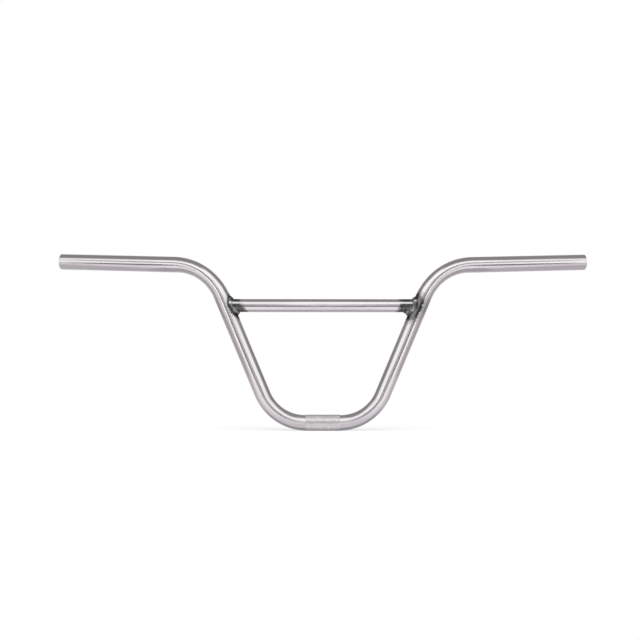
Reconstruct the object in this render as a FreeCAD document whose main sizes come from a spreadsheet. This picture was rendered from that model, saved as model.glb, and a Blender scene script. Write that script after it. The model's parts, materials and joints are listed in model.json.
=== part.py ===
# BMX handlebar: one bent steel tube, a mitred crossbar and the two weld beads that join them.
# Millimetres. The clamp's axis is X and its middle is the origin, +Z is up, the front faces -Y
# and the grips sweep back to +Y.
import FreeCAD
import Part
import math
import os

from FreeCAD import Vector

DRIVING_SIZES = [
    ("overall_width", 757.0, "from the rim of one end to the rim of the other"),
    ("rise", 228.6, "from the clamp's axis up to the middle of an end"),
    ("back_sweep", 11.0, "angle of the grips towards the rider"),
    ("up_sweep", 2.0, "angle of the grips above level"),
    ("upright_splay", 22.7, "angle of the uprights from vertical"),
    ("tube_diameter", 22.2, "outside of the main tube"),
    ("tube_wall", 1.5, "wall of the main tube"),
    ("clamp_length", 50.0, "straight run between the lower bends"),
    ("lower_bend_radius", 64.0, "of the tube's centre line, beside the clamp"),
    ("upper_bend_radius", 74.0, "of the tube's centre line, below the grips"),
    ("knurl_length", 48.0, "band that the stem grips"),
    ("knurl_height", 0.3, "how far the band stands above the tube"),
    ("end_chamfer", 0.4, "deburred rims of the open ends"),
    ("crossbar_diameter", 18.5, "outside of the crossbar"),
    ("crossbar_wall", 1.2, "wall of the crossbar"),
    ("crossbar_gap", 3.0, "from the crossbar's top up to the start of the upper bends"),
    ("weld_leg", 4.0, "how far a weld bead reaches along each tube"),
]

# The most of the wall that one rim's chamfer takes, and how near counts as touching.
RIM_SHARE_OF_WALL = 0.4
TOUCHING = 1e-4

doc = FreeCAD.newDocument("bmx_handlebar")
sheet = doc.addObject("Spreadsheet::Sheet", "Sizes")
rows_written = 0


def write_row(alias, number, meaning):
    global rows_written
    rows_written += 1
    sheet.set(f"A{rows_written}", alias)
    sheet.set(f"B{rows_written}", str(number))
    sheet.setAlias(f"B{rows_written}", alias)
    sheet.set(f"C{rows_written}", meaning)


for driving_size in DRIVING_SIZES:
    write_row(*driving_size)
doc.recompute()


def size(alias):
    return float(sheet.get(alias))


def add(kind, label, **bound):
    thing = doc.addObject(kind, label)
    thing.Label = label
    for prop, formula in bound.items():
        thing.setExpression(prop, formula)
    return thing


def join(kind, label, base, tool):
    thing = add(kind, label)
    thing.Base = base
    thing.Tool = tool
    return thing


# Corners of the right half's centre line: at the clamp, under the grip, and the middle of the end.
# The upright's and the grip's runs are solved together, so the end lands on the width and the rise.
def right_corners():
    splay = math.radians(size("upright_splay"))
    back = math.radians(size("back_sweep"))
    up = math.radians(size("up_sweep"))
    upright = Vector(math.sin(splay), 0, math.cos(splay))
    grip = Vector(math.cos(up) * math.cos(back), math.cos(up) * math.sin(back), math.sin(up))
    bend_tangent = size("lower_bend_radius") * math.tan((math.pi / 2 - splay) / 2)
    lower = Vector(size("clamp_length") / 2 + bend_tangent, 0, 0)
    rim_reach = size("tube_diameter") / 2 * math.sqrt(1 - grip.x**2)
    reach = size("overall_width") / 2 - rim_reach - lower.x
    rise = size("rise")
    solver = upright.x * grip.z - grip.x * upright.z
    upright_run = (reach * grip.z - grip.x * rise) / solver
    grip_run = (upright.x * rise - upright.z * reach) / solver
    upper = lower + upright * upright_run
    return lower, upper, upper + grip * grip_run


def mirrored(point):
    return Vector(-point.x, point.y, point.z)


# Start, middle and end of the arc that rounds one corner of a path.
def bend(before, corner, after, radius):
    arrive = (before - corner).normalize()
    leave = (after - corner).normalize()
    half_angle = arrive.getAngle(leave) / 2
    tangent = radius / math.tan(half_angle)
    inwards = (arrive + leave).normalize()
    middle = corner + inwards * (radius / math.sin(half_angle) - radius)
    return corner + arrive * tangent, middle, corner + leave * tangent


def bent_wire(points, radii):
    edges = []
    start = points[0]
    for before, corner, after, radius in zip(points, points[1:], points[2:], radii):
        first, middle, last = bend(before, corner, after, radius)
        edges.append(Part.LineSegment(start, first).toShape())
        edges.append(Part.Arc(first, middle, last).toShape())
        start = last
    edges.append(Part.LineSegment(start, points[-1]).toShape())
    return Part.Wire(edges)


def swept(label, path, **bound):
    section = add("Part::Circle", label + "_section", **bound)
    section.AttachmentSupport = (path, "Edge1")
    section.MapMode = "NormalToEdge"
    section.MapPathParameter = 0
    sweep = add("Part::Sweep", label)
    sweep.Sections = [section]
    sweep.Spine = (path, [f"Edge{i + 1}" for i in range(len(path.Shape.Edges))])
    sweep.Solid = True
    return sweep


# A cylinder along X, centred on the middle of the bar at a height.
def rod(label, radius, length, height="0 mm"):
    cylinder = add("Part::Cylinder", label, Radius=radius, Height=length)
    cylinder.Placement = FreeCAD.Placement(Vector(), FreeCAD.Rotation(Vector(0, 1, 0), 90))
    cylinder.setExpression("Placement.Base.x", f"-{label}.Height / 2")
    cylinder.setExpression("Placement.Base.z", height)
    return cylinder


# A bevel of equal legs along the edges of a solid that pass a test.
def chamfered(label, base, is_wanted, leg):
    thing = add("Part::Chamfer", label)
    thing.Base = base
    thing.Edges = [(i, leg, leg) for i, edge in enumerate(base.Shape.Edges, start=1) if is_wanted(edge)]
    return thing


lower, upper, end = right_corners()
path_points = [mirrored(end), mirrored(upper), mirrored(lower), lower, upper, end]
lower_radius = size("lower_bend_radius")
upper_radius = size("upper_bend_radius")
path = add("Part::Feature", "centre_line")
path.Shape = bent_wire(path_points, [upper_radius, lower_radius, lower_radius, upper_radius])

# Main tube: the outside with its knurled band, less the bore, with both rims of each end chamfered.
tube_outside = swept("tube_outside", path, Radius="Sizes.tube_diameter / 2")
tube_bore = swept("tube_bore", path, Radius="Sizes.tube_diameter / 2 - Sizes.tube_wall")
knurl_band = rod("knurl_band", "Sizes.tube_diameter / 2 + Sizes.knurl_height", "Sizes.knurl_length")
banded_tube = join("Part::Fuse", "banded_tube", tube_outside, knurl_band)
open_tube = join("Part::Cut", "open_tube", banded_tube, tube_bore)
doc.recompute()


def is_end_rim(edge):
    curve = edge.Curve
    if not isinstance(curve, Part.Circle):
        return False
    return min((curve.Center - end).Length, (curve.Center - mirrored(end)).Length) < TOUCHING


rim_leg = min(size("end_chamfer"), RIM_SHARE_OF_WALL * size("tube_wall"))
main_tube = chamfered("main_tube", open_tube, is_end_rim, rim_leg)

# Crossbar: a tube from upright to upright, mitred by the outside of the main tube.
upper_bend_start = bend(lower, upper, end, upper_radius)[0]
crossbar_height = upper_bend_start.z - size("crossbar_gap") - size("crossbar_diameter") / 2
upright_slope = (upper.x - lower.x) / (upper.z - lower.z)
write_row("crossbar_height", crossbar_height, "from the clamp's axis up to the crossbar's axis")
write_row("crossbar_reach", lower.x + crossbar_height * upright_slope, "out to an upright's axis")
doc.recompute()

crossbar_run = {"length": "2 * Sizes.crossbar_reach", "height": "Sizes.crossbar_height"}
crossbar_outside = rod("crossbar_outside", "Sizes.crossbar_diameter / 2", **crossbar_run)
crossbar_inside = "Sizes.crossbar_diameter / 2 - Sizes.crossbar_wall"
crossbar_bore = rod("crossbar_bore", crossbar_inside, **crossbar_run)
crossbar_tube = join("Part::Cut", "crossbar_tube", crossbar_outside, crossbar_bore)
crossbar = join("Part::Cut", "crossbar", crossbar_tube, tube_outside)

# Weld beads: what a bevel of equal legs adds in the corner where the two outsides meet.
joined_outsides = join("Part::Fuse", "joined_outsides", tube_outside, crossbar_outside)
doc.recompute()


def on_surface(edge, solid):
    middle = edge.valueAt((edge.FirstParameter + edge.LastParameter) / 2)
    return solid.Shape.Shells[0].distToShape(Part.Vertex(middle))[0] < TOUCHING


def is_weld_line(edge):
    return on_surface(edge, tube_outside) and on_surface(edge, crossbar_outside)


filled_corners = chamfered("filled_corners", joined_outsides, is_weld_line, size("weld_leg"))
weld_beads = join("Part::Cut", "weld_beads", filled_corners, joined_outsides)
doc.recompute()

for thing in doc.Objects:
    if "Invalid" in thing.State or "Error" in thing.State:
        raise RuntimeError(f"{thing.Label} is {thing.State}")

os.makedirs("parts", exist_ok=True)
for node, solids in [(main_tube, 1), (crossbar, 1), (weld_beads, 2)]:
    shape = node.Shape
    if shape.isNull() or not shape.isValid() or len(shape.Solids) != solids:
        raise RuntimeError(f"{node.Label} isn't sound")
    shape.exportStep(f"parts/{node.Label}.step")
    print(node.Label, "volume", round(shape.Volume, 1), "faces", len(shape.Faces))
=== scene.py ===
import json
import math
import bpy
from mathutils import Matrix, Vector


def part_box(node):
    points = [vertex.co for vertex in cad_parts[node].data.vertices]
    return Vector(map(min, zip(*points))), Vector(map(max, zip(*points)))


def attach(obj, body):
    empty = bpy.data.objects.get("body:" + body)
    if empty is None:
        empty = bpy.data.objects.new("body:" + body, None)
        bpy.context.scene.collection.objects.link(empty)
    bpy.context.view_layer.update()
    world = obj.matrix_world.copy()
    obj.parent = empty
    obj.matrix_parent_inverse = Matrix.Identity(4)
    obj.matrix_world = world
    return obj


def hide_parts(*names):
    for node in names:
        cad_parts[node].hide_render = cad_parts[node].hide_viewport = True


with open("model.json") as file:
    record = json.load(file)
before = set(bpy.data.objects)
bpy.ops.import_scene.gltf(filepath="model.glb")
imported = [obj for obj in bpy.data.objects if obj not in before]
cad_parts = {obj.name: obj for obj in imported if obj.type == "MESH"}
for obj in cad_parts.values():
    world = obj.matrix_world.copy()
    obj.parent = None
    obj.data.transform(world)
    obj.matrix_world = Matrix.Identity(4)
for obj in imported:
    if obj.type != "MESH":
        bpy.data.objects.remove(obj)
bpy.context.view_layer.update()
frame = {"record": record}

mounts = {mount["name"]: mount for mount in frame["record"]["mounts"]}
mm = 0.001


def mountSize(name, size):
    return mounts[name]["dims"][size] * mm


# layout of the right half, in metres: clamp, lower bend, upright, upper bend, grip
layout = {
    "clampHalf": 0.025,
    "lowerBend": 0.064,              # radius of the centre line
    "upperBend": 0.074,
    "splay": math.radians(22.7),     # upright from vertical
    "tubeRadius": mountSize("right_grip", "r_mm"),
    "boreRadius": mountSize("right_bar_end", "r_mm"),
    "rimChamfer": 0.0004,
}
tubeRadius = layout["tubeRadius"]
sinSplay = math.sin(layout["splay"])
cosSplay = math.cos(layout["splay"])
tanSplay = math.tan(layout["splay"])

clampAxis = Vector((1, 0, 0))
uprightAxis = Vector((sinSplay, 0, cosSplay))
gripAxis = Vector(mounts["right_grip"]["axis"]).normalized()
gripMiddle = Vector(mounts["right_grip"]["pos_m"])
gripLength = mountSize("right_grip", "length_mm")


def bendAfter(start, along, leave, radius):
    hinge = along.cross(leave).normalized()
    inward = hinge.cross(along)
    turn = along.angle(leave)
    centre = start + inward * radius
    end = centre + Matrix.Rotation(turn, 3, hinge) @ (start - centre)
    return {"start": start, "along": along, "radius": radius, "hinge": hinge,
            "inward": inward, "turn": turn, "centre": centre, "end": end}


upperCorner = gripMiddle - gripAxis * (gripMiddle.y / gripAxis.y)    # the uprights stand at y 0
upperTangent = layout["upperBend"] * math.tan(uprightAxis.angle(gripAxis) / 2)
lowerBend = bendAfter(clampAxis * layout["clampHalf"], clampAxis, uprightAxis, layout["lowerBend"])
upperBend = bendAfter(upperCorner - uprightAxis * upperTangent, uprightAxis, gripAxis, layout["upperBend"])
gripEnd = gripMiddle + gripAxis * (gripLength / 2 + layout["rimChamfer"])

crossbarLow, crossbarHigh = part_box("crossbar")
crossbarZ = (crossbarLow.z + crossbarHigh.z) / 2
crossbarReach = lowerBend["end"].x + (crossbarZ - lowerBend["end"].z) * tanSplay


# small helpers for modelling
def freshStart():
    if bpy.context.object and bpy.context.object.mode != "OBJECT":
        bpy.ops.object.mode_set(mode="OBJECT")
    bpy.ops.object.select_all(action="DESELECT")


def editMode(on):
    bpy.ops.object.mode_set(mode="EDIT" if on else "OBJECT")


def selectVerts(piece, wanted):
    editMode(False)
    for face in piece.data.polygons:
        face.select = False
    for edge in piece.data.edges:
        edge.select = False
    for vert in piece.data.vertices:
        vert.select = wanted(vert.co)
    editMode(True)


def runOn(step):
    bpy.ops.mesh.extrude_region_move(TRANSFORM_OT_translate={"value": step})


def applyModifier(piece, kind, **settings):
    modifier = piece.modifiers.new(kind.lower(), kind)
    for name, value in settings.items():
        setattr(modifier, name, value)
    bpy.context.view_layer.objects.active = piece
    bpy.ops.object.modifier_apply(modifier=modifier.name)


def faceOutwards():
    bpy.ops.mesh.select_all(action="SELECT")
    bpy.ops.mesh.remove_doubles(threshold=1e-6)
    bpy.ops.mesh.normals_make_consistent(inside=False)


def newPiece(name):
    piece = bpy.context.object
    piece.name = name
    piece.data.name = name
    bpy.ops.object.transform_apply(location=True, rotation=True, scale=True)
    return piece


def smoothShade(piece, degrees):
    freshStart()
    piece.select_set(True)
    bpy.context.view_layer.objects.active = piece
    bpy.ops.object.shade_smooth_by_angle(angle=math.radians(degrees))


def storeValues(piece, name, kind, values):
    field = "vector" if kind == "FLOAT_VECTOR" else "value"
    attribute = piece.data.attributes.new(name, kind, "POINT")
    attribute.data.foreach_set(field, values)


# shader maths: a Wire is one output socket, and sums on wires add Math nodes
class Wire:
    def __init__(self, bench, socket):
        self.bench = bench
        self.socket = socket

    def part(self, name):
        return Wire(self.bench, self.socket.node.outputs[name])

    def maths(self, operation, other=None):
        sockets = {0: self} if other is None else {0: self, 1: other}
        return self.bench.node("ShaderNodeMath", {"operation": operation}, sockets)

    def mathsFrom(self, operation, other):
        return self.bench.node("ShaderNodeMath", {"operation": operation}, {0: other, 1: self})

    def __add__(self, other):
        return self.maths("ADD", other)

    def __sub__(self, other):
        return self.maths("SUBTRACT", other)

    def __rsub__(self, other):
        return self.mathsFrom("SUBTRACT", other)

    def __mul__(self, other):
        return self.maths("MULTIPLY", other)

    def __truediv__(self, other):
        return self.maths("DIVIDE", other)

    def __rtruediv__(self, other):
        return self.mathsFrom("DIVIDE", other)

    def __neg__(self):
        return self.maths("MULTIPLY", -1.0)

    __radd__ = __add__
    __rmul__ = __mul__


class Bench:
    def __init__(self, tree):
        self.tree = tree
        tree.nodes.clear()

    def node(self, kind, settings=None, sockets=None, output=0):
        made = self.tree.nodes.new(kind)
        for name, value in (settings or {}).items():
            setattr(made, name, value)
        for name, value in (sockets or {}).items():
            if isinstance(value, Wire):
                self.tree.links.new(value.socket, made.inputs[name])
            else:
                made.inputs[name].default_value = value
        return Wire(self, made.outputs[output]) if made.outputs else made

    def ramp(self, value, low, high):           # 0 at low, 1 at high, eased
        return self.node("ShaderNodeMapRange", {"interpolation_type": "SMOOTHSTEP"},
                         {"Value": value, "From Min": low, "From Max": high})

    def fade(self, value, low, high):           # 1 at low, 0 at high
        return 1.0 - self.ramp(value, low, high)

    def band(self, value, start, stop):         # 1 between the two edges
        return self.ramp(value, *start) * self.fade(value, *stop)

    def blend(self, share, first, second):
        return self.node("ShaderNodeMix", {"data_type": "RGBA"}, {0: share, 6: first, 7: second}, 2)

    def grain(self, place, scale, detail=2.0):
        stretched = self.node("ShaderNodeMapping", {}, {"Vector": place, "Scale": scale})
        return self.node("ShaderNodeTexNoise", {}, {"Vector": stretched, "Scale": 1.0, "Detail": detail})

    def objectPlace(self):
        return self.node("ShaderNodeTexCoord", output="Object")

    def attribute(self, name, output):
        return self.node("ShaderNodeAttribute", {"attribute_name": name}, {}, output)

    def split(self, place):
        parts = self.node("ShaderNodeSeparateXYZ", {}, {"Vector": place})
        return parts.part("X"), parts.part("Y"), parts.part("Z")

    def metal(self, sockets):
        shader = self.node("ShaderNodeBsdfPrincipled", {}, {"Metallic": 1.0, **sockets})
        self.node("ShaderNodeOutputMaterial", {}, {"Surface": shader})


def newFinish(name):
    material = bpy.data.materials.new(name)
    material.use_nodes = True
    return material, Bench(material.node_tree)


def between(share, pair):            # from the pair's first value to its second
    return share * (pair[1] - pair[0]) + pair[0]


def weighted(wires, shares):
    return sum(wires[name] * share for name, share in shares.items())


# brushed raw steel under a clear lacquer; soot and char are how far a weld's heat has darkened it
steel = {
    "bright": (0.68, 0.658, 0.674, 1),
    "dull": (0.55, 0.529, 0.543, 1),
    "soot": (0.15, 0.15, 0.147, 1),
    "char": (0.018, 0.019, 0.018, 1),
    "bore": (0.16, 0.155, 0.15, 1),
    "fineStreaks": (7, 1500, 1500),      # lengthwise, then across, in cycles a metre
    "fineDetail": 1.0,
    "broadStreaks": (4, 420, 420),
    "patches": (22, 70, 70),
    "dulledBy": {"fine": 0.5, "broad": 0.55, "patches": 0.35},
    "dullRange": (0.4, 1.0),
    "roughness": 0.155,
    "roughenedBy": {"fine": 0.02, "patches": 0.06, "soot": 0.10, "char": 0.12, "bore": 0.25},
    "brushing": {"Strength": 0.004, "Distance": 0.0002},
    "lacquer": 0.25,
    "lacquerRoughness": 0.13,
}


def steelFinish(bench, straight, soot, char, bore=0.0):
    wires = {
        "fine": bench.grain(straight, steel["fineStreaks"], steel["fineDetail"]),
        "broad": bench.grain(straight, steel["broadStreaks"]),
        "patches": bench.grain(straight, steel["patches"]),
        "soot": soot,
        "char": char,
        "bore": bore,
    }
    dullness = bench.ramp(weighted(wires, steel["dulledBy"]), *steel["dullRange"])
    colour = bench.blend(dullness, steel["bright"], steel["dull"])
    for name in ("soot", "char", "bore"):
        colour = bench.blend(wires[name], colour, steel[name])
    roughness = weighted(wires, steel["roughenedBy"]) + steel["roughness"]
    bump = bench.node("ShaderNodeBump", {}, {"Height": wires["broad"], **steel["brushing"]})
    bench.metal({"Base Color": colour, "Roughness": roughness, "Normal": bump,
                 "Coat Weight": steel["lacquer"], "Coat Roughness": steel["lacquerRoughness"]})


# the ragged edge of the steel that the welds have darkened, and the blotches in it, in cycles a metre
charring = {
    "ragged": (420, 420, 420),
    "blotches": (300, 480, 480),
    "blotchEdge": (0.40, 0.60),
    "detail": 3.0,
}


def ragged(bench, place):            # about 0, either way
    return bench.grain(place, charring["ragged"], charring["detail"]) - 0.5


def blotches(bench, place):
    return bench.ramp(bench.grain(place, charring["blotches"], charring["detail"]), *charring["blotchEdge"])


print("layout ready: crossbar at", round(crossbarZ, 4), "reaching", round(crossbarReach, 4))


# main tube: one ring run out along the clamp, spun round both bends, mirrored, then given its wall
tubeMaking = {
    "around": 96,
    "bendSteps": 28,
    "rimSegments": 3,
    "rimAngle": 60,                      # edges sharper than this are rims
    "smoothAngle": 35,
    "lowerFlat": {"outside": 0.070, "inside": 0.0, "widened": 0.02},
    "upperFlat": {"outside": 0.080, "inside": 0.065, "widened": 0.03},
    "flatEase": 0.7,                     # under 1, the flattening starts sooner
    "boreSlack": 0.0002,
}

freshStart()
bpy.ops.mesh.primitive_circle_add(vertices=tubeMaking["around"], radius=tubeRadius,
                                  rotation=(0, math.pi / 2, 0))
mainTube = newPiece("bent_tube")
editMode(True)
bpy.ops.mesh.select_all(action="SELECT")
runOn(lowerBend["start"])
for bend, runEnd in ((lowerBend, upperBend["start"]), (upperBend, gripEnd)):
    bpy.ops.mesh.spin(steps=tubeMaking["bendSteps"], angle=bend["turn"],
                      center=bend["centre"], axis=-bend["hinge"])
    runOn(runEnd - bend["end"])
editMode(False)
applyModifier(mainTube, "MIRROR", use_axis=(True, False, False), merge_threshold=1e-5)
editMode(True)
faceOutwards()
editMode(False)


def onRightHalf(co):                 # a point's side, and its twin on the right half
    return 1 if co.x >= 0 else -1, Vector((abs(co.x), co.y, co.z))


def turnedInBend(spoke, bend):
    return math.atan2(spoke.dot(bend["along"]), -spoke.dot(bend["inward"]))


# the bender flattens the tube a little, mostly on the outside of each bend
def flattenBend(point, bend, flat):
    spoke = point - bend["centre"]
    share = turnedInBend(spoke, bend) / bend["turn"]
    if not 0 < share < 1:
        return point
    amount = math.sin(math.pi * share) ** tubeMaking["flatEase"]
    level = spoke.dot(bend["hinge"])
    inPlane = spoke - bend["hinge"] * level
    offset = inPlane.length - bend["radius"]
    offset *= 1 - amount * (flat["outside"] if offset > 0 else flat["inside"])
    level *= 1 + amount * flat["widened"]
    return bend["centre"] + inPlane.normalized() * (bend["radius"] + offset) + bend["hinge"] * level


for vert in mainTube.data.vertices:
    side, point = onRightHalf(vert.co)
    point = flattenBend(point, lowerBend, tubeMaking["lowerFlat"])
    point = flattenBend(point, upperBend, tubeMaking["upperFlat"])
    vert.co = (side * point.x, point.y, point.z)
applyModifier(mainTube, "SOLIDIFY", thickness=tubeRadius - layout["boreRadius"], offset=-1,
              use_even_offset=True)
applyModifier(mainTube, "BEVEL", width=layout["rimChamfer"], segments=tubeMaking["rimSegments"],
              limit_method="ANGLE", angle_limit=math.radians(tubeMaking["rimAngle"]))
smoothShade(mainTube, tubeMaking["smoothAngle"])


# where a point of the bent tube lies on the same tube before it was bent
def openBend(point, bend):
    spoke = point - bend["centre"]
    turned = min(max(turnedInBend(spoke, bend), 0.0), bend["turn"])
    flat = bend["centre"] + Matrix.Rotation(-turned, 3, bend["hinge"]) @ spoke
    return flat + bend["along"] * (bend["radius"] * turned)


unbent = []
inBore = []
for vert in mainTube.data.vertices:
    side, point = onRightHalf(vert.co)
    point = openBend(openBend(point, upperBend), lowerBend)
    fromAxis = math.hypot(point.y, point.z)
    unbent += [side * point.x, point.y, point.z]
    inBore.append(1.0 if fromAxis < layout["boreRadius"] + tubeMaking["boreSlack"] else 0.0)
storeValues(mainTube, "unbent", "FLOAT_VECTOR", unbent)
storeValues(mainTube, "inBore", "FLOAT", inBore)
print("bent tube:", len(mainTube.data.polygons), "faces")

# weld heat on the uprights, in metres; a joint's own values are the left one's, then the right one's
tubeHeat = {
    "along": (0.0205, 0.0212),           # of each joint: half the length of the charred oval,
    "around": (0.0152, 0.0210),          # half its width around the tube
    "square": (2.0, 3.0),                # and its shape, where 2 is an oval and more is squarer
    "drop": 0.0058,                      # the oval's middle lies below the crossbar's axis
    "ragged": 0.45,
    "charEdge": (0.88, 1.06),            # as a share of the oval
    "charLevel": (0.92, 1.0),            # outside and inside the blotches
    "thinFrom": (0.34, 0.50),            # a band of thinner char, as a share of the half width
    "thinTo": (0.70, 0.84),
    "thinShare": (0.0, 0.30),            # of each joint
    "haloEdge": (1.05, 1.35),            # faint soot around the oval, as a share of it
    "haloShare": (0.12, 0.40),           # of each joint
    "outerAlong": (0.002, 0.023),        # faint soot on the far side of the upright
    "outerShare": (0.36, 0.54),          # of each joint
    "outerStart": (-0.0085, -0.0045),    # of each joint: across, from the axis towards the bar's middle
    "outerStop": (-0.0055, -0.0010),
}

tubeFinish, bench = newFinish("brushed_tube_steel")
place = bench.objectPlace()
x, y, z = bench.split(place)
rightSide = x.maths("GREATER_THAN", 0.0)
ofJoint = {name: between(rightSide, tubeHeat[name]) for name in (
    "along", "around", "square", "thinShare", "haloShare", "outerShare", "outerStart", "outerStop")}
outward = x.maths("ABSOLUTE") - crossbarReach
upward = z - crossbarZ
fromCrossbar = outward * sinSplay + upward * cosSplay
towardsMiddle = upward * sinSplay - outward * cosSplay
alongOval = (fromCrossbar + tubeHeat["drop"]) / ofJoint["along"]
aroundOval = y.maths("ABSOLUTE").maths("ARCTAN2", towardsMiddle) * tubeRadius / ofJoint["around"]
fromJoint = alongOval.maths("ABSOLUTE").maths("POWER", ofJoint["square"])
fromJoint = fromJoint + aroundOval.maths("POWER", ofJoint["square"])
fromJoint = fromJoint.maths("POWER", 1.0 / ofJoint["square"]) + ragged(bench, place) * tubeHeat["ragged"]
thinned = bench.band(aroundOval, tubeHeat["thinFrom"], tubeHeat["thinTo"]) * ofJoint["thinShare"]
tubeChar = between(blotches(bench, place), tubeHeat["charLevel"]) * (1.0 - thinned)
tubeChar = tubeChar * bench.fade(fromJoint, *tubeHeat["charEdge"])
tubeSoot = bench.fade(fromJoint, *tubeHeat["haloEdge"]) * ofJoint["haloShare"]
outerSoot = bench.fade(fromCrossbar.maths("ABSOLUTE"), *tubeHeat["outerAlong"]) * ofJoint["outerShare"]
outerSoot = outerSoot * bench.fade(towardsMiddle, ofJoint["outerStart"], ofJoint["outerStop"])
tubeSoot = tubeSoot.maths("MAXIMUM", outerSoot)
steelFinish(bench, bench.attribute("unbent", "Vector"), tubeSoot, tubeChar, bench.attribute("inBore", "Fac"))
mainTube.data.materials.append(tubeFinish)
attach(mainTube, "root")
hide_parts("main_tube")


# knurled band: a pair of flat-topped diamond teeth, repeated along and around, rolled onto the clamp
knurl = {
    "teethAround": 38,
    "teethAlong": 26,
    "toothHeight": 0.00022,
    "groove": 0.00026,               # half a groove's width
    "innerRadius": 0.0107,           # hidden in the tube's wall
    "topRadius": mountSize("stem_clamp", "r_mm"),
    "length": mountSize("stem_clamp", "length_mm"),
    "clean": (0.93, 0.915, 0.92, 1),
    # painted shade: the colour at the bottom of the grooves
    "grooveShadeColour": (0.10, 0.098, 0.10, 1),
    "grooveShadeHeight": 0.6,               # painted shade in the grooves reaches this share of the tooth's height up from the root
    "darkenedBy": {"grooveShade": 0.85, "wear": 0.2},
    "wear": (300, 300, 300),
    "wearDetail": 3.0,
    "roughness": (0.24, 0.34),       # at the least and the most wear
    "lacquerRoughness": 0.15,
}
rootRadius = knurl["topRadius"] - knurl["toothHeight"]
pitchAlong = knurl["length"] / knurl["teethAlong"]
pitchAround = 2 * math.pi * rootRadius / knurl["teethAround"]
bandHalf = knurl["length"] / 2

freshStart()
bpy.ops.mesh.primitive_circle_add(vertices=4, radius=0.5, fill_type="NGON")      # a diamond, 1 across
knurlBand = newPiece("knurl_band")
editMode(True)
bpy.ops.mesh.select_all(action="SELECT")
bpy.ops.transform.resize(value=(pitchAlong, pitchAround, 1))
bpy.ops.mesh.inset(thickness=knurl["groove"])
bpy.ops.transform.translate(value=(0, 0, knurl["toothHeight"]))
bpy.ops.mesh.select_all(action="SELECT")
bpy.ops.mesh.duplicate_move(TRANSFORM_OT_translate={"value": (pitchAlong / 2, pitchAround / 2, 0)})
editMode(False)
alongRow = (knurl["teethAlong"] + 1, (pitchAlong, 0, 0))
aroundRow = (knurl["teethAround"], (0, pitchAround, 0))
for count, step in (alongRow, aroundRow):
    applyModifier(knurlBand, "ARRAY", count=count, use_relative_offset=False, use_constant_offset=True,
                  constant_offset_displace=step, use_merge_vertices=True, merge_threshold=1e-5)
for vert in knurlBand.data.vertices:
    fromMiddle = vert.co.x - bandHalf
    radius = rootRadius + vert.co.z
    turned = vert.co.y / rootRadius
    vert.co = (fromMiddle, -radius * math.sin(turned), radius * math.cos(turned))
editMode(True)
faceOutwards()
for side in (-1, 1):
    bpy.ops.mesh.select_all(action="SELECT")
    bpy.ops.mesh.bisect(plane_co=(side * bandHalf, 0, 0), plane_no=(side, 0, 0), clear_outer=True)
selectVerts(knurlBand, lambda co: abs(co.x) > bandHalf - 1e-6)
bpy.ops.mesh.extrude_region_move()
editMode(False)
for vert in knurlBand.data.vertices:
    if vert.select:
        shrink = knurl["innerRadius"] / math.hypot(vert.co.y, vert.co.z)
        vert.co = (vert.co.x, vert.co.y * shrink, vert.co.z * shrink)
editMode(True)
bpy.ops.mesh.bridge_edge_loops()
faceOutwards()
editMode(False)
print("knurl band:", len(knurlBand.data.polygons), "faces")

knurlFinish, bench = newFinish("knurled_steel")
place = bench.objectPlace()
x, y, z = bench.split(place)
fromAxis = (y * y + z * z).maths("SQRT")
# painted shade: the grooves darken in the colour from the root up, with a little random wear mixed in
grooveShadeTop = rootRadius + knurl["grooveShadeHeight"] * knurl["toothHeight"]
wear = bench.grain(place, knurl["wear"], knurl["wearDetail"])
grooveShade = weighted({"grooveShade": bench.fade(fromAxis, rootRadius, grooveShadeTop), "wear": wear}, knurl["darkenedBy"])
bench.metal({"Base Color": bench.blend(grooveShade, knurl["clean"], knurl["grooveShadeColour"]),
             "Roughness": between(wear, knurl["roughness"]),
             "Coat Weight": steel["lacquer"], "Coat Roughness": knurl["lacquerRoughness"]})
knurlBand.data.materials.append(knurlFinish)
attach(knurlBand, "root")


# crossbar: an open tube with its wall, mitred by the two uprights
crossbar = {
    "around": 96,
    "radius": 0.00925,
    "wall": 0.0012,
    "cutLength": 0.08,
    "smoothAngle": 35,
}

freshStart()
bpy.ops.mesh.primitive_cylinder_add(vertices=crossbar["around"], radius=crossbar["radius"],
                                    depth=2 * crossbarReach, end_fill_type="NOTHING",
                                    location=(0, 0, crossbarZ), rotation=(0, math.pi / 2, 0))
crossbarPiece = newPiece("mitred_crossbar")
applyModifier(crossbarPiece, "SOLIDIFY", thickness=crossbar["wall"], offset=-1, use_even_offset=True)
for side in (-1, 1):
    freshStart()
    bpy.ops.mesh.primitive_cylinder_add(vertices=crossbar["around"], radius=tubeRadius,
                                        depth=crossbar["cutLength"], rotation=(0, side * layout["splay"], 0),
                                        location=(side * crossbarReach, 0, crossbarZ))
    cutter = bpy.context.object
    applyModifier(crossbarPiece, "BOOLEAN", operation="DIFFERENCE", object=cutter, solver="EXACT")
    bpy.data.objects.remove(cutter)
smoothShade(crossbarPiece, crossbar["smoothAngle"])
print("crossbar:", len(crossbarPiece.data.polygons), "faces")

# weld heat on the crossbar, in metres; a joint's own values are the left one's, then the right one's
barHeat = {
    "front": (0.0205, 0.0245),           # of each joint: along the crossbar, from the saddle,
    "rounding": (44, 30),                # shorter above and below by this times the height squared,
    "slant": (0.195, -0.18),             # longer below, or above,
    "fade": (0.007, 0.005),              # and how softly it ends
    "ragged": 0.012,
    "charShare": 0.75,                   # in the blotches
    "highlightFrom": (0.0022, 0.0029),    # painted highlight: the soot is thinned on the upper front, where the highlight falls
    "highlightTo": (0.0052, 0.0060),
    "highlightShare": 0.85,
}

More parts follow.
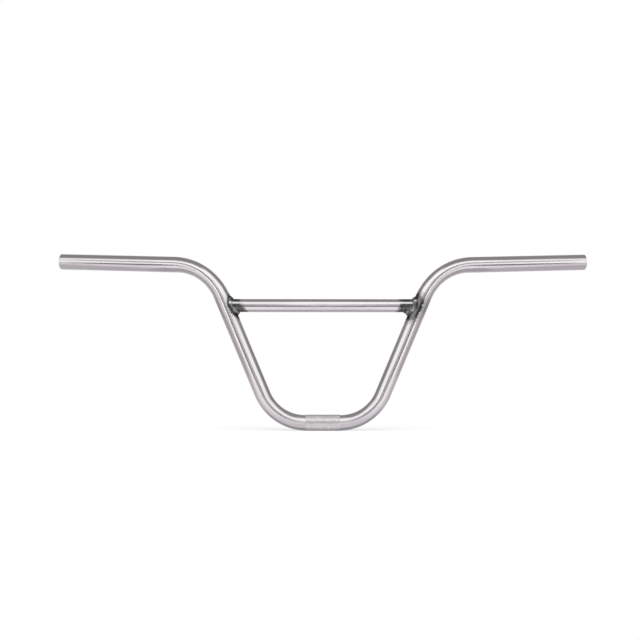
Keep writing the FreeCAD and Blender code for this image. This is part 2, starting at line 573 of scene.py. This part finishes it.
crossbarFinish, bench = newFinish("brushed_crossbar_steel")
place = bench.objectPlace()
x, y, z = bench.split(place)
rightSide = x.maths("GREATER_THAN", 0.0)
ofJoint = {name: between(rightSide, barHeat[name]) for name in ("front", "rounding", "slant", "fade")}
upward = z - crossbarZ
saddle = upward * tanSplay + crossbarReach - (tubeRadius ** 2 - y * y).maths("SQRT") / cosSplay
fromWeld = saddle - x.maths("ABSOLUTE")
sootReach = ofJoint["front"] - upward * upward * ofJoint["rounding"] - upward * ofJoint["slant"]
sootReach = sootReach - ragged(bench, place) * barHeat["ragged"]
crossbarSoot = bench.fade((fromWeld - sootReach) / ofJoint["fade"], -1.0, 0.0)
# painted highlight: less soot in a strip on the front of the crossbar, above its axis, where the highlight
# falls
highlightStrip = bench.band(upward, barHeat["highlightFrom"], barHeat["highlightTo"]) * y.maths("LESS_THAN", 0.0)
crossbarSoot = crossbarSoot * (1.0 - highlightStrip * barHeat["highlightShare"])
crossbarChar = crossbarSoot * blotches(bench, place) * barHeat["charShare"]
steelFinish(bench, place, crossbarSoot, crossbarChar)
crossbarPiece.data.materials.append(crossbarFinish)
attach(crossbarPiece, "root")
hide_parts("crossbar")


# weld beads: rings laid along the saddle where the two tubes meet, with overlapping ripples.
# Each bead has the legs on the tube and the bar and the crown at its top, front, bottom and back, and
# painted highlights, pale spots in the colour that stand for reflections: turn around the bead, width, how
# bright, way from upright to crossbar.
weld = {
    "along": 256,                    # the most that a torus takes
    "over": 14,                      # points over the bead, from upright to crossbar
    "ripples": 22,
    "rippleHeight": 0.00028,
    "scallop": 0.00035,
    "crescent": 0.55,
    "sunk": 0.0005,
    "wobble": ((0.09, 3, 1), (0.07, 7, 2)),      # how much, waves around the bead, shift to each side
    "toeSoot": 1.4,                  # blackens the edge that lies on the upright
    "toeNarrowness": 4,
    "highlightWidth": 0.32,               # as a share of the way from upright to crossbar
    "highlightLift": 2,
    "smoothAngle": 60,
    "left": {"tube": (0.0060, 0.0031, 0.0036, 0.0034),
             "bar": (0.0028, 0.0034, 0.0046, 0.0036),
             "crown": (0.0001, 0.0007, 0.0001, 0.0008),
             "paintedHighlights": ((1.05, 0.15, 1.0, 0.5), (2.2, 0.25, 0.2, 0.5))},
    "right": {"tube": (0.0034, 0.0033, 0.0060, 0.0036),
              "bar": (0.0034, 0.0042, 0.0070, 0.0042),
              "crown": (0.0002, 0.0006, -0.0009, 0.0007),
              "paintedHighlights": ((0.80, 0.12, 0.7, 0.42), (2.05, 0.22, 0.55, 0.30))},
    "dark": (0.030, 0.031, 0.030, 1),
    "pale": (0.64, 0.635, 0.63, 1),
    "mottle": (230, 230, 230),
    "mottleDetail": 3.0,
    "pits": (1400, 1400, 1400),
    "paledBy": {"crest": 0.35, "mottle": 1.2},
    "paleRange": (0.55, 1.75),
    "roughness": 0.30,
    "roughenedBy": {"shade": -0.14, "pits": 0.12},
    "pitting": {"Strength": 0.15, "Distance": 0.0003},
    "lacquer": 0.2,
    "lacquerRoughness": 0.1,
}


def roundBead(four, turn):           # top, front, bottom, back, eased from one to the next
    quarter = turn / (math.pi / 2)
    first = int(quarter) % 4
    share = (1 - math.cos((quarter - int(quarter)) * math.pi)) / 2
    return four[first] * (1 - share) + four[(first + 1) % 4] * share


def onUpright(along, around):        # a point of the right upright's skin, from its unrolled place
    turned = around / tubeRadius
    inward = Vector((-cosSplay, 0, sinSplay))
    skin = inward * math.cos(turned) - Vector((0, 1, 0)) * math.sin(turned)
    return Vector((crossbarReach, 0, crossbarZ)) + uprightAxis * along + skin * tubeRadius, skin


# painted highlights: pale spots added to the bead's colour where reflections fall
def highlightBrightness(spots, turn, share):
    bright = 0
    for middle, width, high, across in spots:
        offTurn = (turn - middle) / width
        offAcross = (share - across) / weld["highlightWidth"]
        bright += high * math.exp(-offTurn ** 2 - offAcross ** 2)
    return bright


def beadRing(legs, turn, wobble):
    barSkin = Vector((0, -math.sin(turn), math.cos(turn)))
    root = Vector((0, 0, crossbarZ)) + barSkin * crossbar["radius"]
    reach = crossbarReach + (root.z - crossbarZ) * tanSplay
    root.x = reach - math.sqrt(tubeRadius ** 2 - root.y ** 2) / cosSplay
    along = (root.x - crossbarReach) * sinSplay + (root.z - crossbarZ) * cosSplay
    around = tubeRadius * math.asin(-root.y / tubeRadius)
    legTube = roundBead(legs["tube"], turn) * (1 + wobble)
    legBar = roundBead(legs["bar"], turn) * (1 - wobble)
    crown = roundBead(legs["crown"], turn)
    ring = []
    crests = []
    spread = math.hypot(along, around)
    for i in range(weld["over"]):
        share = i / (weld["over"] - 1)
        phase = weld["ripples"] * turn / (2 * math.pi) + weld["crescent"] * (2 * share - 1) ** 2
        crest = math.sqrt(4 * (phase % 1) * (1 - phase % 1))
        scallop = weld["scallop"] * crest
        grown = 1 + (legTube + scallop) / spread
        tubeToe, tubeSkin = onUpright(along * grown, around * grown)
        barToe = root - clampAxis * (legBar + scallop)
        outward = ((tubeToe + barToe) / 2 - root).normalized()
        arch = 4 * share * (1 - share)
        lift = crown * arch + weld["rippleHeight"] * crest * math.sqrt(arch)
        ring.append(tubeToe.lerp(barToe, share) + outward * lift)
        paintedHighlights = weld["highlightLift"] * highlightBrightness(legs["paintedHighlights"], turn, share)
        toe = weld["toeSoot"] * (1 - share) ** weld["toeNarrowness"]
        crests.append(crest + paintedHighlights - toe)        # above 1 at the painted highlights
    sunk = weld["sunk"]
    under = [barToe - barSkin * sunk, root - outward * sunk, tubeToe - tubeSkin * sunk]
    return ring + under, crests + [0] * len(under)


beadPieces = []
for side, legs, name in ((-1, weld["left"], "weld_bead_left"), (1, weld["right"], "weld_bead_right")):
    freshStart()
    ringSize = len(beadRing(legs, 0, 0)[0])
    bpy.ops.mesh.primitive_torus_add(major_segments=weld["along"], minor_segments=ringSize)
    bead = newPiece(name)
    crestValues = []
    for i in range(weld["along"]):
        turn = 2 * math.pi * i / weld["along"]
        wobble = sum(much * math.sin(waves * turn + shift * side) for much, waves, shift in weld["wobble"])
        ring, crests = beadRing(legs, turn, wobble)
        for j, point in enumerate(ring):
            bead.data.vertices[i * ringSize + j].co = (side * point.x, point.y, point.z)
        crestValues += crests
    storeValues(bead, "crest", "FLOAT", crestValues)
    editMode(True)
    faceOutwards()
    editMode(False)
    smoothShade(bead, weld["smoothAngle"])
    beadPieces.append(bead)
    print(name + ":", len(bead.data.polygons), "faces")

weldFinish, bench = newFinish("heat_darkened_weld")
place = bench.objectPlace()
wires = {
    "crest": bench.attribute("crest", "Fac"),
    "mottle": bench.grain(place, weld["mottle"], weld["mottleDetail"]),
    "pits": bench.grain(place, weld["pits"]),
}
# the crest attribute carries the ripples, the painted highlights and the sooty toe
wires["shade"] = bench.ramp(weighted(wires, weld["paledBy"]), *weld["paleRange"])
bump = bench.node("ShaderNodeBump", {}, {"Height": wires["pits"], **weld["pitting"]})
bench.metal({"Base Color": bench.blend(wires["shade"], weld["dark"], weld["pale"]),
             "Roughness": weighted(wires, weld["roughenedBy"]) + weld["roughness"], "Normal": bump,
             "Coat Weight": weld["lacquer"], "Coat Roughness": weld["lacquerRoughness"]})
for bead in beadPieces:
    bead.data.materials.append(weldFinish)
    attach(bead, "root")
    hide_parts("weld_beads")


# pale table: it ends a little in front of the bar, so the tubes show its edge as a dark line
table = {
    "front": -0.46,
    "back": 1.3,
    "side": 1.2,
    "top": -0.0114,
    "glow": 0.83,
    "paint": (0.32, 0.32, 0.32, 1),
    "white": (1, 1, 1, 1),
    "shade": (0.10, 0.09, 0.10, 1),          # soft shadow behind the bar, away from the lights
    "shadeReach": 0.13,
    "shadeSamples": 16,
    "shadeFrom": (-0.005, 0.03),
    # painted light, as the steel shows it, in metres from the bar's middle: painted bright in front, dimmer
    # behind
    "near": (1.32, 1.27, 1.315, 1),
    "far": (0.60, 0.565, 0.60, 1),
    "farFrom": (-0.10, 0.08),
    "farSlant": 0.25,
    "nearMiddle": 0.66,                      # how bright the front is in the middle,
    "nearRise": 0.34,                        # what it gains to the sides
    "riseFrom": (0.03, 0.12),
    "nearDrop": 0.25,                        # and what it loses farther out
    "dropFrom": (0.22, 0.50),
    "lightPool": (1.56, 1.50, 1.54, 1),           # a painted pool of light on each side
    "poolAside": 0.34,
    "poolFront": -0.42,
    "poolEdge": (0.08, 0.23),
    "shadeUnderClamp": (0.36, 0.34, 0.36, 1),     # painted shade close under the clamp
    "underFrom": (-0.0125, -0.008),
    "underTo": (0.02, 0.05),
    "underAside": (0.09, 0.14),
}

freshStart()
bpy.ops.mesh.primitive_plane_add(size=1.0)
tableTop = newPiece("table_top")
for vert in tableTop.data.vertices:
    edge = "back" if vert.co.y > 0 else "front"
    vert.co = (vert.co.x * 2 * table["side"], table[edge], table["top"])
tableFinish, bench = newFinish("pale_table")
path = bench.node("ShaderNodeLightPath", output="Is Camera Ray")
seen = path + path.part("Is Glossy Ray") + path.part("Is Transmission Ray")
x, y, z = bench.split(bench.objectPlace())
aside = x.maths("ABSOLUTE")
brightness = bench.ramp(aside, *table["riseFrom"]) * table["nearRise"] + table["nearMiddle"]
brightness = brightness - bench.ramp(aside, *table["dropFrom"]) * table["nearDrop"]
near = bench.fade(y + aside * table["farSlant"], *table["farFrom"]) * brightness
# painted light and shade in the glow that only the tubes' reflections see: brighter in front and in a pool
# on each side, darker behind and under the clamp
inSteel = bench.blend(near, table["far"], table["near"])
poolX = aside - table["poolAside"]
poolY = y - table["poolFront"]
fromPool = (poolX * poolX + poolY * poolY).maths("SQRT")
inSteel = bench.blend(bench.fade(fromPool, *table["poolEdge"]), inSteel, table["lightPool"])
shadeUnderClamp = bench.band(y, table["underFrom"], table["underTo"]) * bench.fade(aside, *table["underAside"])
inSteel = bench.blend(shadeUnderClamp, inSteel, table["shadeUnderClamp"])
openness = bench.node("ShaderNodeAmbientOcclusion", {"samples": table["shadeSamples"]},
                      {"Distance": table["shadeReach"]}, "AO")
shaded = (1.0 - openness) * bench.ramp(y, *table["shadeFrom"])
tone = bench.blend(path, inSteel, bench.blend(shaded, table["white"], table["shade"]))
glow = bench.node("ShaderNodeEmission", {}, {"Color": bench.blend(seen * table["glow"], (0, 0, 0, 1), tone)})
paint = bench.node("ShaderNodeBsdfDiffuse", {}, {"Color": table["paint"]})
both = bench.node("ShaderNodeAddShader", {}, {0: glow, 1: paint})
bench.node("ShaderNodeOutputMaterial", {}, {"Surface": both})
tableTop.data.materials.append(tableFinish)


# reflectors around the bar: boards on edge between the two halves, so each half has a bright inner side,
# a white card with a narrow wing in front of each upright, and a grey flag with a smaller one on top beside
# it. Each glows at its front, at its back and in its high part; along is where the front turns to the back.
reflectors = {
    "tall_board": {"x": (0, 0), "y": (-0.80, -0.09), "z": (0.122, 0.80),
                   "glow": (0.58, 1.42, 1.52), "along": (-0.70, -0.15)},
    "low_board": {"x": (0, 0), "y": (-0.18, -0.08), "z": (0.050, 0.122), "glow": (1.45, 1.45, 1.45)},
    "card": {"x": (0.39, 0.255), "y": (-0.32, -0.32), "z": (-0.011, 0.190), "glow": (1.55, 1.55, 1.55)},
    "wing": {"x": (0.425, 0.39), "y": (-0.32, -0.32), "z": (0.088, 0.112), "glow": (1.45, 1.45, 1.45)},
    "flag": {"x": (0.27, 0.27), "y": (-0.16, 0.10), "z": (-0.011, 0.10),
             "glow": (0.92, 0.565, 0.565), "along": (-0.16, -0.01), "tint": (1, 0.945, 0.985)},
    "flag_top": {"x": (0.27, 0.27), "y": (-0.05, 0.045), "z": (0.10, 0.150),
                 "glow": (0.565, 0.565, 0.565), "tint": (1, 0.945, 0.985)},
}
highPart = (0.22, 0.36)              # heights between which a reflector turns to its high part


def reflector(name, board, side):
    freshStart()
    bpy.ops.mesh.primitive_plane_add(size=1.0)
    plane = newPiece(name)
    for vert in plane.data.vertices:
        end = 1 if vert.co.x > 0 else 0
        top = 1 if vert.co.y > 0 else 0
        vert.co = (side * board["x"][end], board["y"][end], board["z"][top])
    finish, bench = newFinish(name + "_glow")
    x, y, z = bench.split(bench.objectPlace())
    tint = board.get("tint", (1, 1, 1))
    front, back, high = [(*(level * share for share in tint), 1) for level in board["glow"]]
    tone = bench.blend(bench.ramp(y, *board.get("along", board["y"])), front, back)
    tone = bench.blend(bench.ramp(z, *highPart), tone, high)
    glow = bench.node("ShaderNodeEmission", {}, {"Color": tone})
    bench.node("ShaderNodeOutputMaterial", {}, {"Surface": glow})
    plane.data.materials.append(finish)
    plane.visible_camera = False
    plane.visible_diffuse = False
    plane.visible_shadow = False


for name, board in reflectors.items():
    if board["x"] == (0, 0):
        reflector(name, board, 1)
    else:
        reflector("left_" + name, board, -1)
        reflector("right_" + name, board, 1)
print("table and reflectors set")


# studio: broad soft lights in front, low ones to each side and a wide one above with a seam between them,
# a white panel behind and a dim room around. Two dark stands with arms part the low lights. Edges are in
# degrees, up from level or aside from straight ahead, and a pair of levels is the middle's, then the sides'.
studio = {
    "room": 0.36,
    "gap": 0.12,                     # below the lights, past the table's edge
    "low": (0.98, 1.45),
    "seam": (1.12, 1.20),
    "above": (1.58, 1.52),
    "sides": (14, 28),               # aside, where the middle turns to the sides
    "farSides": (24, 33),
    "frontEnd": (54, 84),            # aside, where the room begins
    "gapEdge": (-7.0, -4.0),
    "gapLift": 2.5,                  # the gap's edge is higher to the sides,
    "gapLiftFrom": (24, 29),
    "gapSink": 11.0,                 # and lower farther out
    "gapSinkFrom": (45, 52),
    "seamEdge": (-14, -10),
    "seamSlant": 0.75,
    "aboveEdge": (28, 33),
    "aboveLift": 4.0,                # far to the sides
    "topEdge": (58, 72),
    "topSlant": 0.28,
    "panel": 1.0,
    "panelFrom": (0.80, 0.88),       # how far a direction points to the back, where 1 is straight back,
    "panelFoot": (-0.05, 0.05),      # and how far it points up
    "warm": (1, 0.94, 0.95, 1),      # tint of what is dim
    "white": (1, 1, 1, 1),
    "warmTo": (0.3, 0.9),
}
stands = {
    "hide": 0.95,                    # how much of the light behind them
    "footFrom": (1.5, 4.5),
    "footTop": (0.0, 4.0),
    "postFrom": (4.0, 6.5),
    "postTop": (24, 31),
    "postTo": (13, 19),
    "armFoot": (16, 20),
    "armTop": (27, 31),
    "armFrom": (8, 12),
    "armTo": (46, 54),
    "armThinFrom": (18, 28),
    "armThin": 0.2,
}

world = bpy.data.worlds.new("studio")
bpy.context.scene.world = world
world.use_nodes = True
bench = Bench(world.node_tree)
x, y, z = bench.split(bench.node("ShaderNodeTexCoord", output="Generated"))
rise = z.maths("ARCSINE") * math.degrees(1)
aside = x.maths("ABSOLUTE").maths("ARCTAN2", -y) * math.degrees(1)
toSides = bench.ramp(aside, *studio["sides"])
farAside = bench.ramp(aside, *studio["farSides"])

gapTop = bench.ramp(aside, *studio["gapLiftFrom"]) * studio["gapLift"]
gapTop = gapTop - bench.ramp(aside, *studio["gapSinkFrom"]) * studio["gapSink"]
overGap = bench.ramp(rise - gapTop, *studio["gapEdge"])
overLow = bench.ramp(rise - aside * studio["seamSlant"], *studio["seamEdge"])
overSeam = bench.ramp(rise - farAside * studio["aboveLift"], *studio["aboveEdge"])
overTop = bench.ramp(rise + aside * studio["topSlant"], *studio["topEdge"])

foot = bench.ramp(aside, *stands["footFrom"]) * bench.fade(rise, *stands["footTop"])
post = bench.ramp(aside, *stands["postFrom"]) * bench.fade(rise, *stands["postTop"])
post = foot.maths("MAXIMUM", post) * bench.fade(aside, *stands["postTo"])
arm = bench.band(rise, stands["armFoot"], stands["armTop"])
arm = arm * bench.band(aside, stands["armFrom"], stands["armTo"])
arm = arm * (1.0 - bench.ramp(aside, *stands["armThinFrom"]) * stands["armThin"])
hidden = post.maths("MAXIMUM", arm) * stands["hide"]

front = between(toSides, studio["low"]) * (overGap - overGap * overLow)
front = front + between(farAside, studio["seam"]) * overLow * overGap * (1.0 - overSeam)
front = front + between(toSides, studio["above"]) * overSeam * (1.0 - overTop)
inFront = bench.fade(aside, *studio["frontEnd"])
around = between(overGap, (studio["gap"], studio["room"])) * (1.0 - inFront * (overGap - overTop))
behind = bench.ramp(y, *studio["panelFrom"]) * bench.ramp(z, *studio["panelFoot"])
level = around + front * (1.0 - hidden) * inFront + behind * (studio["panel"] - studio["room"])
path = bench.node("ShaderNodeLightPath", output="Is Camera Ray")
level = level * (1.0 - path) + path
tone = bench.blend(bench.ramp(level, *studio["warmTo"]), studio["warm"], studio["white"])
backdrop = bench.node("ShaderNodeBackground", {}, {"Color": tone, "Strength": level})
bench.node("ShaderNodeOutputWorld", {}, {"Surface": backdrop})

# camera, in a square frame of 640: level, straight on, a little long
view = {
    "place": (0, -1.6, 0.1193),
    "roll": math.radians(-0.055),
    "lens": 64.07,
    "sensor": 36,
    "shift": (-0.0044, 0.0278),
    "nearest": 0.01,
}
cameraData = bpy.data.cameras.new("photo_camera")
cameraData.lens = view["lens"]
cameraData.sensor_width = view["sensor"]
cameraData.shift_x, cameraData.shift_y = view["shift"]
cameraData.clip_start = view["nearest"]
camera = bpy.data.objects.new("photo_camera", cameraData)
camera.location = view["place"]
camera.rotation_euler = (math.pi / 2, view["roll"], 0)
bpy.context.scene.collection.objects.link(camera)
bpy.context.scene.camera = camera
bpy.context.scene.view_settings.view_transform = "Standard"
print("studio and camera set")
